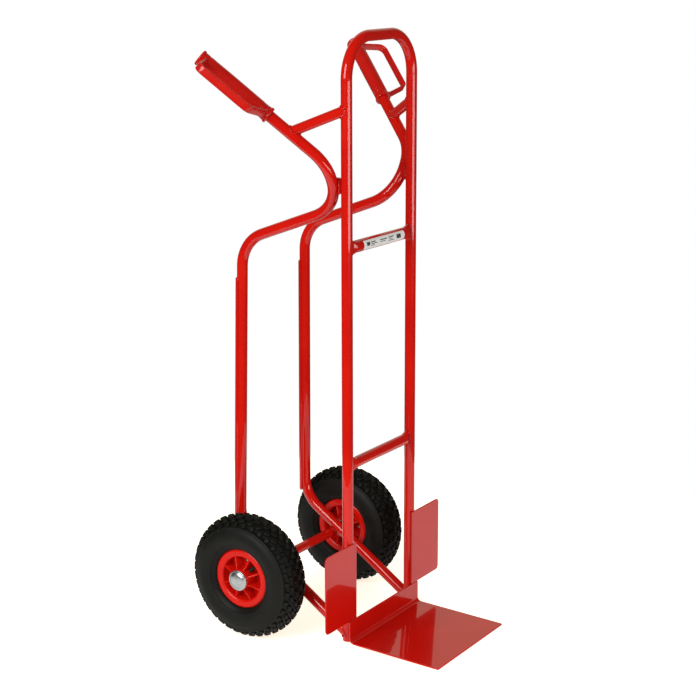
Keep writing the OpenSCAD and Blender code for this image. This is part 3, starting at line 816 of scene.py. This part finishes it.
def grip_sleeve():
    """Sleeve with two collars, shallow rings and a closed domed end."""
    collar, body, bore = 16.5, 14.5, 11.1
    profile = [(bore, 0.0, 0.3), (collar - 0.4, 0.0, 1.2), (collar, 2.5, 1.5),
               (collar - 0.4, 5.0, 1.2), (body + 0.3, 6.4, 1.0)]
    for z in (14.0, 18.0, 22.0):
        profile += [(body, z - 1.2, 0.5), (body - 0.7, z - 0.5, 0.4),
                    (body - 0.7, z + 0.5, 0.4), (body, z + 1.2, 0.5)]
    for k in range(13):
        z = 34.0 + k * 8.5
        profile += [(body + 0.22 * math.sin(k * math.pi / 12), z, 6.0)]
    top = GRIP_LEN
    profile += [(body, top - 19.0, 0.5), (body - 0.7, top - 18.3, 0.4),
                (body - 0.7, top - 17.3, 0.4), (body, top - 16.6, 0.5),
                (body, top - 6.4, 1.0), (collar - 0.3, top - 4.8, 1.0),
                (collar, top - 2.6, 1.5), (collar - 1.2, top - 0.6, 1.6),
                (6.0, top - 0.1, 2.0), (0.0, top, 0.0),
                (0.0, top - 4.0, 0.0), (bore, top - 4.0, 0.5)]
    rim = filleted(profile)
    return revolve(rim, 56)


def knuckle_bow():
    """Band from the closed end, along the hand and back to the sleeve. It
    swells where it leaves the sleeve."""
    high = GRIP_LEN - BOW_TOP_DROP
    path = [np.array(p, float) for p in (
        (12.0, 0, high), (BOW_REACH, 0, high),
        (BOW_REACH, 0, BOW_ROOT + BOW_SLANT), (12.0, 0, BOW_ROOT))]
    points, ways = centre_line(path, [14.0, 14.0], turn=7.5)
    fine = []
    for k, (a, w) in enumerate(zip(points, ways)):
        fine.append((a, w))
        if k + 1 < len(points):
            gap = np.linalg.norm(points[k + 1] - a)
            for j in range(1, int(gap // 6.0) + 1):
                share = j * 6.0 / gap
                if share < 0.97:
                    fine.append((a + (points[k + 1] - a) * share, w))
    rings = []
    for p, w in fine:
        out = np.cross(Y_AXIS, w)
        root = max(0.0, 1.0 - (p[0] - 12.0) / 12.0) if p[0] < 24 else 0.0
        swell = root * root
        half_wide = BOW_WIDTH / 2 + 2.5 * swell
        half_thick = 2.5 + 1.5 * swell
        ring = []
        for u, v in rounded_box_ring(half_wide, half_thick, 1.7, steps=4):
            # the band's faces are crowned a little across its width
            crown = 0.35 * (1 - (u / half_wide) ** 2)
            ring.append(p + Y_AXIS * u
                        + out * (v + math.copysign(crown, v) * 0.9))
        rings.append(ring)
    return loft(rings)


grip_shape = moved(joined(grip_sleeve(), knuckle_bow()), on_grip)
pair("hand_grip", grip_shape, "red_plastic", soft_pvc, "grip", crease=32.0)

# ---- axle and what is on it ----


def on_axle(p, side=LEFT):
    """From (up, back, along the axle from the middle) to the frame."""
    return np.array([side * p[2], AXLE_Y + p[1], AXLE_Z + p[0]])


piece("axle_bar", moved(revolve(filleted([
    (0.0, -AXLE_HALF, 0), (AXLE_R, -AXLE_HALF, 0.8), (AXLE_R, AXLE_HALF, 0.8),
    (0.0, AXLE_HALF, 0)]), 48), on_axle), "frame", "red_enamel", enamel,
    ["axle"])


def turned_ring(inner, outer, low, high, edge, count=56):
    return revolve(filleted([(inner, low, edge), (outer, low, edge),
                             (outer, high, edge), (inner, high, edge)]),
                   count)


COLLAR_FROM, COLLAR_TO = 140.1, 148.1
collars = joined(*(moved(turned_ring(10.0, 15.0, COLLAR_FROM, COLLAR_TO,
                                     0.9), lambda p: on_axle(p, side))
                   for side in (LEFT, RIGHT)))
piece("axle_collars", collars, "frame", "red_enamel", enamel,
      ["stop_collars"])
washers = joined(*(moved(turned_ring(10.05, 18.0, x, x + 1.6, 0.35),
                         lambda p: on_axle(p, side))
                   for side in (LEFT, RIGHT)
                   for x in (WHEEL_X - HUB_HALF - 1.75,
                             WHEEL_X + HUB_HALF + 0.15)))
piece("steel_washers", washers, "frame", "zinc", zinc, ["thrust_washers"])


def cap_shape():
    """Pressed cap: rolled rim, shallow step and a dome."""
    base = WHEEL_X + HUB_HALF + 1.9
    dome = [(0.0, 6.5), (3.0, 6.43), (6.0, 6.2), (9.0, 5.8), (11.5, 5.3),
            (13.5, 4.75), (15.0, 4.15), (16.2, 3.4), (17.0, 2.75),
            (18.0, 2.35), (19.4, 2.2), (20.6, 1.9), (21.3, 1.3),
            (21.5, 0.7), (21.2, 0.15), (20.5, 0.0), (19.6, 0.25)]
    inside = [(18.6, 1.1), (16.4, 1.9), (13.0, 3.6), (8.0, 4.9), (0.0, 5.6)]
    return revolve([(r, base + z) for r, z in dome + inside], 64)


caps = joined(*(moved(cap_shape(), lambda p: on_axle(p, side))
                for side in (LEFT, RIGHT)))
piece("axle_caps", caps, "frame", "zinc", zinc, ["hub_caps"])

# ---- repeats made with Geometry Nodes ----


def geometry_tree(name, **kinds):
    """A tree that takes geometry, these inputs and a material."""
    tree = bpy.data.node_groups.new(name, "GeometryNodeTree")
    for label, kind in (("Geometry", "Geometry"), *kinds.items(),
                        ("Material", "Material")):
        tree.interface.new_socket(label, in_out="INPUT",
                                  socket_type="NodeSocket" + kind)
    tree.interface.new_socket("Geometry", in_out="OUTPUT",
                              socket_type="NodeSocketGeometry")
    return tree, add_node(tree, "NodeGroupInput").outputs


def put_out(tree, geometry, material):
    """Makes the geometry real, gives it the material and hands it over."""
    real = add_node(tree, "GeometryNodeRealizeInstances",
                    {"Geometry": geometry})
    painted = add_node(tree, "GeometryNodeSetMaterial", {
        "Geometry": real.outputs["Geometry"], "Material": material})
    add_node(tree, "NodeGroupOutput",
             {"Geometry": painted.outputs["Geometry"]})
    return tree


def ring_tree():
    """Copies the piece's own mesh Count times round the axle, each copy
    turned by Phase plus its share of a turn."""
    tree, given = geometry_tree("copies_round_axle", Count="Int",
                                Phase="Float", Centre="Vector")
    spots = add_node(tree, "GeometryNodeMeshLine", {
        "Count": given["Count"], "Start Location": given["Centre"],
        "Offset": (0.0, 0.0, 0.0)})
    index = add_node(tree, "GeometryNodeInputIndex").outputs["Index"]
    share = calc(tree, "DIVIDE", index, given["Count"])
    turn = add_node(tree, "ShaderNodeCombineXYZ", {
        "X": calc(tree, "MULTIPLY_ADD", share, 2 * math.pi,
                  given["Phase"])})
    copies = add_node(tree, "GeometryNodeInstanceOnPoints", {
        "Points": spots.outputs["Mesh"], "Instance": given["Geometry"],
        "Rotation": turn.outputs["Vector"]})
    return put_out(tree, copies.outputs["Instances"], given["Material"])


def bead_tree():
    """Weld bead along the piece's own edges: a round bead whose size ripples
    once every Pitch."""
    tree, given = geometry_tree("weld_bead", Radius="Float", Pitch="Float",
                                Ripple="Float")
    line = add_node(tree, "GeometryNodeMeshToCurve", {
        "Mesh": given["Geometry"]})
    even = add_node(tree, "GeometryNodeResampleCurve", {
        "Curve": line.outputs["Curve"],
        "Length": calc(tree, "DIVIDE", given["Pitch"], 5.0)},
        mode="LENGTH")
    length = add_node(tree, "GeometryNodeSplineParameter").outputs["Length"]
    turns = calc(tree, "DIVIDE", length, given["Pitch"])
    wave = calc(tree, "SINE", calc(tree, "MULTIPLY", turns, 2 * math.pi))
    radius = calc(tree, "MULTIPLY",
                  calc(tree, "MULTIPLY_ADD", wave, given["Ripple"], 1.0),
                  given["Radius"])
    outline = add_node(tree, "GeometryNodeCurvePrimitiveCircle", {
        "Resolution": 10, "Radius": 1.0})
    skin = add_node(tree, "GeometryNodeCurveToMesh", {
        "Curve": even.outputs["Curve"], "Scale": radius,
        "Profile Curve": outline.outputs["Curve"], "Fill Caps": True})
    return put_out(tree, skin.outputs["Mesh"], given["Material"])


COPIES_ROUND_AXLE = ring_tree()
WELD_BEAD = bead_tree()


def grown(mesh, tree, **values):
    """The plain mesh that a Geometry Nodes tree makes of a mesh."""
    item = bpy.data.objects.new("growing", mesh)
    bpy.context.scene.collection.objects.link(item)
    modifier = item.modifiers.new("nodes", "NODES")
    sockets = {s.name: s.identifier for s in tree.interface.items_tree
               if s.in_out == "INPUT"}
    modifier.node_group = tree
    for name, value in values.items():
        modifier[sockets[name]] = value
    bpy.context.view_layer.update()
    graph = bpy.context.evaluated_depsgraph_get()
    result = bpy.data.meshes.new_from_object(item.evaluated_get(graph))
    item.modifiers.remove(modifier)
    bpy.data.objects.remove(item)
    return result


def raw_mesh(shape):
    """Plain mesh of a shape. Its second part holds faces, or edges."""
    points, joins = shape
    edges, faces = (joins, []) if len(joins[0]) == 2 else ([], joins)
    mesh = bpy.data.meshes.new("raw")
    mesh.from_pydata((np.asarray(points, float) * MM).tolist(), edges, faces)
    return mesh


def shape_of(mesh):
    """A mesh back as a shape in millimetres."""
    points = [tuple(np.array(v.co) / MM) for v in mesh.vertices]
    return points, [list(p.vertices) for p in mesh.polygons]


def round_axle(shape, side, count, phase_deg, finish):
    """Copies of a wheel's shape round the axle, as one shape."""
    mesh = grown(raw_mesh(moved(shape, lambda p: np.array(
        [side * p[2], p[1], p[0]]))), COPIES_ROUND_AXLE, Count=count,
        Phase=math.radians(phase_deg),
        Centre=(side * WHEEL_X * MM, AXLE_Y * MM, AXLE_Z * MM),
        Material=finish)
    return shape_of(mesh)


# ---- wheels ----


def on_wheel(side):
    return lambda p: np.array([side * (WHEEL_X + p[2]), AXLE_Y + p[1],
                               AXLE_Z + p[0]])


def casing_point(angle, height):
    """Point of the tyre's round section: angle from the crown, height of
    the skin above the section circle. Gives (radius, outward)."""
    a = math.radians(angle)
    return (SECTION_R + (CASING_R + height) * math.cos(a),
            (CASING_R + height) * math.sin(a))


TREAD_DEPTH = 5.0


def tyre_profile():
    """Half section from the crown's groove floor over the shoulder, its
    ridge and the smooth side wall to the bead; then the inside."""
    outer = [casing_point(a, -TREAD_DEPTH) for a in
             (0, 8, 16, 24, 32, 40, 47)]
    outer += [casing_point(50, -4.4), casing_point(53, -3.0),
              casing_point(55, -1.5), casing_point(56.5, -0.7),
              casing_point(58.5, -0.5), casing_point(60, -0.9),
              casing_point(61.5, -1.5), casing_point(66, -1.4),
              casing_point(72, -1.2), casing_point(79, -1.1),
              casing_point(86, -1.1), casing_point(93, -1.1),
              casing_point(100, -1.3), casing_point(106, -1.5),
              casing_point(109, -1.6), casing_point(110.5, -0.7),
              casing_point(113.5, -0.7), casing_point(115, -1.8),
              casing_point(121, -2.2), casing_point(127, -3.0),
              (62.8, 30.6), (61.6, 28.4), (61.4, 25.2), (56.0, 24.7),
              (51.5, 24.3), (50.4, 22.6)]
    inner = [(50.4, 17.6), (52.0, 16.9), (63.0, 17.0), (66.0, 19.5)]
    inner += [casing_point(a, -8.5) for a in
              (128, 112, 96, 80, 62, 44, 26, 10, 0)]
    half = outer + inner
    return half + [(r, -z) for r, z in half[-2:0:-1]]


def block(phi, wide, long, lean):
    """One tread block at section angle phi: a chamfered pad that grows out
    of the casing, wide across and long round the tyre."""
    a = math.radians(phi)
    out = np.array([math.cos(a), 0.0, math.sin(a)])
    across = np.array([-math.sin(a), 0.0, math.cos(a)])
    root = np.array([SECTION_R, 0.0, 0.0])
    rings = []
    for height, shrink in ((-TREAD_DEPTH - 0.8, -0.6), (-0.9, 0.5),
                           (-0.25, 1.3)):
        w, l = wide / 2 - shrink, long / 2 - shrink
        c = min(w, l) * 0.36
        ring = []
        for u, v in ((w, l - c), (w - c, l), (-w + c, l), (-w, l - c),
                     (-w, -l + c), (-w + c, -l), (w - c, -l), (w, -l + c)):
            u2 = u + lean * v
            p = root + out * (CASING_R + height) + across * u2
            # follow the round of the tyre along the block
            r = p[0] - (v * v) / (2 * max(p[0], 1.0))
            ring.append((r, v, p[2]))
        rings.append(ring)
    return loft(rings)


BLOCK_ROWS = [  # section angle, width, length, phase share, lean
    (0.0, 8.6, 13.4, 0.0, 0.0),
    (16.0, 8.4, 12.8, 0.5, 0.25),
    (31.5, 8.4, 11.8, 0.0, 0.3),
    (46.5, 9.6, 9.2, 0.5, 0.0),
]
BLOCK_COUNT = 36


def tyre_shape(side):
    parts = [moved(revolve(tyre_profile(), 180), on_wheel(side))]
    pitch = 360.0 / BLOCK_COUNT
    for phi, wide, long, share, lean in BLOCK_ROWS:
        for sign in ((1, -1) if phi else (1,)):
            parts.append(round_axle(
                block(sign * phi, wide, long, sign * lean), side,
                BLOCK_COUNT, share * pitch, rubber))
    return joined(*parts)


def rim_profile():
    """One moulded half: hub, web, barrel and a rolled flange."""
    return filleted([
        (14.05, 0.3, 0.2), (14.05, 36.8, 0.8), (20.6, 37.0, 1.2),
        (22.2, 34.8, 1.6), (23.0, 4.6, 3.0), (44.6, 4.6, 3.5),
        (46.0, 26.2, 2.5), (49.6, 28.6, 2.5), (58.6, 29.0, 3.0),
        (61.9, 26.8, 1.8), (61.0, 24.9, 0.9), (50.6, 24.9, 1.2),
        (50.0, 0.3, 0.4)], step=18.0)


def rib_shape():
    """Rib between hub and barrel, thicker at its root, rounded on top."""
    rings = []
    for share in np.linspace(0.0, 1.0, 7):
        r = 21.4 + share * (46.4 - 21.4)
        top = 33.4 - 9.0 * share - 1.6 * math.sin(math.pi * share)
        half_low, half_top = 2.6, 1.8
        ring = [(r, -half_low, 4.0), (r, -half_top, top - 1.5),
                (r, -half_top * 0.72, top - 0.5), (r, 0.0, top),
                (r, half_top * 0.72, top - 0.5),
                (r, half_top, top - 1.5), (r, half_low, 4.0)]
        rings.append(ring)
    return loft(rings)


def mirrored_z(shape):
    points, faces = shape
    return ([(p[0], p[1], -p[2]) for p in points],
            [face[::-1] for face in faces])


def rim_shape(side, outside):
    half, rib = revolve(rim_profile(), 128), rib_shape()
    if not outside:
        half, rib = mirrored_z(half), mirrored_z(rib)
    return joined(moved(half, on_wheel(side)),
                  round_axle(rib, side, 8, 22.5, polypropylene))


SCREW_CIRCLE = np.array([34.0, 0.0, 0.0])
VALVE_TURN = math.radians(-45.0)


def screw_shape():
    """Pan-head screw with a hex socket, head outward, shank to the nut."""
    head = revolve([(3.0, 4.02), (4.9, 4.02), (5.1, 4.5), (5.0, 6.0),
                    (4.3, 7.2), (3.1, 7.8), (2.4, 7.9), (1.9, 6.0),
                    (0.0, 6.0), (0.0, 4.9), (2.9, 4.9)], 24)
    shank = revolve([(0.0, -11.6), (2.5, -11.6), (2.95, -10.9), (2.95, 4.6),
                     (0.0, 4.6)], 16)
    return moved(joined(head, shank), lambda p: p + SCREW_CIRCLE)


def nut_shape():
    """Locking nut: chamfered hexagon with a thin round collar."""
    rings = []
    for z, grow in ((-4.02, -0.5), (-4.5, 0.0), (-6.6, 0.0), (-7.2, -0.6)):
        rings.append([((5.1 + grow) * math.cos(math.radians(60 * k)),
                       (5.1 + grow) * math.sin(math.radians(60 * k)), z)
                      for k in range(6)])
    body = loft(rings)
    collar = revolve([(3.0, -7.0), (4.2, -7.0), (4.2, -7.7), (3.9, -7.9),
                      (3.0, -7.9)], 20)
    return moved(joined(body, collar), lambda p: p + SCREW_CIRCLE)


def valve_shape(side):
    """Rubber valve stem with a ribbed cap. It leans outward from the barrel
    so that a pump can reach it past the hub."""
    stem = revolve([(0.0, 0.0), (3.2, 0.0), (3.9, 0.6), (4.0, 3.0),
                    (3.6, 3.3), (4.0, 3.6), (4.0, 6.2), (3.6, 6.5),
                    (4.0, 6.8), (4.0, 9.6), (3.2, 10.0), (3.3, 10.6),
                    (3.9, 13.0), (4.4, 16.0), (4.4, 31.0), (0.0, 31.0)], 24)
    flip = -1 if side == LEFT else 1
    foot, tip = np.array([52.0, 8.3]), np.array([26.5, 23.5])
    way = unit(foot - tip)

    def at(p):
        # p[2] runs from the tip to the foot, p[1] goes round the hub
        r, out = tip + way * p[2] + np.array([-way[1], way[0]]) * p[0]
        c, s = math.cos(VALVE_TURN), math.sin(VALVE_TURN)
        up, back_way = r * c - p[1] * s, r * s + p[1] * c
        return np.array([side * (WHEEL_X + out), AXLE_Y + back_way,
                         AXLE_Z + flip * up])
    return moved(stem, at)


for side in (LEFT, RIGHT):
    label = side_name(side)
    for name, shape, slot, finish, node, crease in (
            ("tread_tyre", tyre_shape(side), "tyre_rubber", rubber, "tyre",
             34.0),
            ("rim_half_outer", rim_shape(side, True), "red_plastic",
             polypropylene, "rim_outer", 45.0),
            ("rim_half_inner", rim_shape(side, False), "red_plastic",
             polypropylene, "rim_inner", 45.0),
            ("clamp_screws", round_axle(screw_shape(), side, 4, 0.0, zinc),
             "zinc", zinc, "rim_screws", 38.0),
            ("lock_nuts", round_axle(nut_shape(), side, 4, 0.0, zinc),
             "zinc", zinc, "rim_nuts", 38.0),
            ("valve_stem", valve_shape(side), "valve_rubber", valve_rubber,
             "valve", 38.0)):
        piece(f"{name}_{label}", shape, f"wheel_{label}", slot, finish,
              [f"{node}_{label}"], crease)

# ---- weld beads ----


def bead(points, radius, closed=True, pitch=2.2, ripple=0.12):
    """Bead shape along points, closed or from end to end."""
    edges = [[k, k + 1] for k in range(len(points) - 1)]
    if closed:
        edges.append([len(points) - 1, 0])
    return shape_of(grown(raw_mesh((points, edges)), WELD_BEAD,
                          Radius=radius * MM, Pitch=pitch * MM,
                          Ripple=ripple, Material=weld_enamel))


def end_ring(shape_corners, radii, radius, first, at_end, cut):
    points, ways = centre_line(shape_corners, radii)
    rings = tube_rings(points, ways, radius, first)
    if at_end:
        return [cut(p, ways[-1]) for p in rings[-1]]
    return [cut(p, -ways[0]) for p in rings[0]]


def crossing_loop():
    """Closed loop round the place where the diagonal rests on the axle."""
    way = unit(SIDE_CORNERS[5] - SIDE_CORNERS[4])
    normal = np.cross(X_AXIS, way)
    if normal[2] > 0:
        normal = -normal
    foot = np.array([UPRIGHT_X, AXLE_Y, AXLE_Z]) - normal * (AXLE_R + 0.1)
    loop = []
    for k in range(32):
        a = 2 * math.pi * k / 32
        u, v = 7.2 * math.cos(a), 7.2 * math.sin(a)
        rise = (u * u / (2 * TUBE_R) - v * v / (2 * AXLE_R)) / 2
        loop.append(foot + X_AXIS * u + way * v - normal * rise)
    return loop


beads = [
    bead(end_ring([BRACE_FOOT, BRACE_HEAD], [], 10.4, Y_AXIS, False,
                  lambda p, w: onto_upright(p - w * 50.0, w, 0.2)), 2.0),
    bead(end_ring([BRACE_FOOT, BRACE_HEAD], [], 10.4, Y_AXIS, True,
                  lambda p, w: onto_handle(p - w * 50.0, w)), 2.0),
    bead(end_ring(SIDE_CORNERS, SIDE_BENDS, 11.3, X_AXIS, True,
                  lambda p, w: onto_upright(p - w * 60.0, w, 0.2)), 2.3),
    bead(upper_seam, 1.9), bead(lower_seam, 1.9),
    bead(crossing_loop(), 1.9),
]
# stitches behind the wing and behind the plate's flange
for low_z, high_z in ((62, 84), (124, 148), (188, 212), (20, 46)):
    for offset in (-6.6, 6.6):
        x = UPRIGHT_X + offset
        gap_y = -(math.sqrt(TUBE_R ** 2 - offset ** 2) + 11.2) / 2
        beads.append(bead([from_axes((x, gap_y, z)) for z in
                           np.linspace(low_z, high_z, 12)], 1.6,
                          closed=False))
# both sides of the spacer, between the upright and the front bend
SPACER_X, SPACER_Y, SPACER_SPAN = UPRIGHT_X + 2.5, 12.2, (917, 943)
for offset in (-5.4, 5.4):
    beads.append(bead([from_axes((SPACER_X + offset, SPACER_Y, z))
                       for z in np.linspace(*SPACER_SPAN, 12)], 1.7,
                      closed=False))
# round the stop collar
beads.append(bead([on_axle((10.6 * math.cos(a), 10.6 * math.sin(a),
                            COLLAR_FROM))
                   for a in np.linspace(0, 2 * math.pi, 48, False)], 1.5))
left_beads = joined(*beads)
piece("weld_beads", joined(left_beads, flipped_x(left_beads)), "frame",
      "red_enamel", weld_enamel, crease=60.0)

# ---- carried-over nodes ----

CARRIED = {"spacer": weld_enamel, "inner_tube": tube_rubber,
           "bearings": bearing_steel}
for node, finish in CARRIED.items():
    for side in (LEFT, RIGHT):
        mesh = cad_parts[f"{node}_{side_name(side)}"].data
        mesh.materials.clear()
        mesh.materials.append(finish)

# ---- studio ----


def white_paper():
    """Lit white paper sweep, with a faint fibre. It glows faintly, as if lit
    through, and is burnt out to white where it is looked at."""
    material, tree, shader, place = new_material(
        "matt_white_paper", Roughness=0.9,
        Emission_Color=(1.0, 0.88, 0.72, 1.0))
    rays = add_node(tree, "ShaderNodeLightPath").outputs
    tree.links.new(spread(tree, rays["Is Camera Ray"], 0.22, 0.85),
                   shader.inputs["Emission Strength"])
    fibre = noise(tree, place, 400.0, 4.0)
    tree.links.new(mixed(tree, fibre, "ffffff", "fdfdfd"),
                   shader.inputs["Base Color"])
    return material


def round_floor(radius, count=96):
    """A round sheet of paper under the truck. Round it the studio is dark
    to reflections, so that the enamel keeps its depth."""
    ring = [(radius * math.cos(2 * math.pi * k / count),
             radius * math.sin(2 * math.pi * k / count), 0.0)
            for k in range(count)]
    mesh = bpy.data.meshes.new("floor")
    mesh.from_pydata(ring, [], [list(range(count))])
    mesh.materials.append(white_paper())
    item = bpy.data.objects.new("floor", mesh)
    bpy.context.scene.collection.objects.link(item)
    return item


FLOOR_R = 1.15
round_floor(FLOOR_R)


def studio_world():
    """White where it is seen, soft grey as light, and nearly black in
    reflections except for a pale wall behind the truck."""
    world = bpy.data.worlds.new("white_studio")
    world.use_nodes = True
    tree = world.node_tree
    sky = tree.nodes["Background"]
    rays = add_node(tree, "ShaderNodeLightPath").outputs
    wall = add_node(tree, "ShaderNodeVectorMath", {
        0: add_node(tree, "ShaderNodeTexCoord").outputs["Generated"],
        1: tuple(unit((0.76, 0.49, 0.46)))}, operation="DOT_PRODUCT")
    band = ramp(tree, wall.outputs["Value"], [
        (0.0, 0.06), (0.74, 0.06), (0.9, 0.5), (1.0, 0.66)])
    warm = mixed(tree, 1.0, band, (1.0, 0.87, 0.7, 1.0),
                 blend_type="MULTIPLY")
    light = mixed(tree, rays["Is Glossy Ray"], (0.36, 0.36, 0.35, 1.0), warm)
    tree.links.new(mixed(tree, rays["Is Camera Ray"], light, "ffffff"),
                   sky.inputs["Color"])
    bpy.context.scene.world = world


studio_world()


def softbox(name, place, target, wide, high, power):
    """Rectangular area lamp that faces a point, metres and watts."""
    lamp = bpy.data.lights.new(name, "AREA")
    lamp.shape = "RECTANGLE"
    lamp.size, lamp.size_y, lamp.energy = wide, high, power
    item = bpy.data.objects.new(name, lamp)
    bpy.context.scene.collection.objects.link(item)
    way = Vector(place) - Vector(target)
    item.rotation_mode = "QUATERNION"
    item.rotation_quaternion = way.to_track_quat("Z", "Y")
    item.location = place


softbox("key_softbox", (-3.4, 0.3, 2.1), (0, 0, 0.6), 2.0, 2.0, 105.0)
softbox("front_softbox", (-0.5, -2.7, 0.62), (0, 0, 0.6), 2.2, 0.6, 26.0)
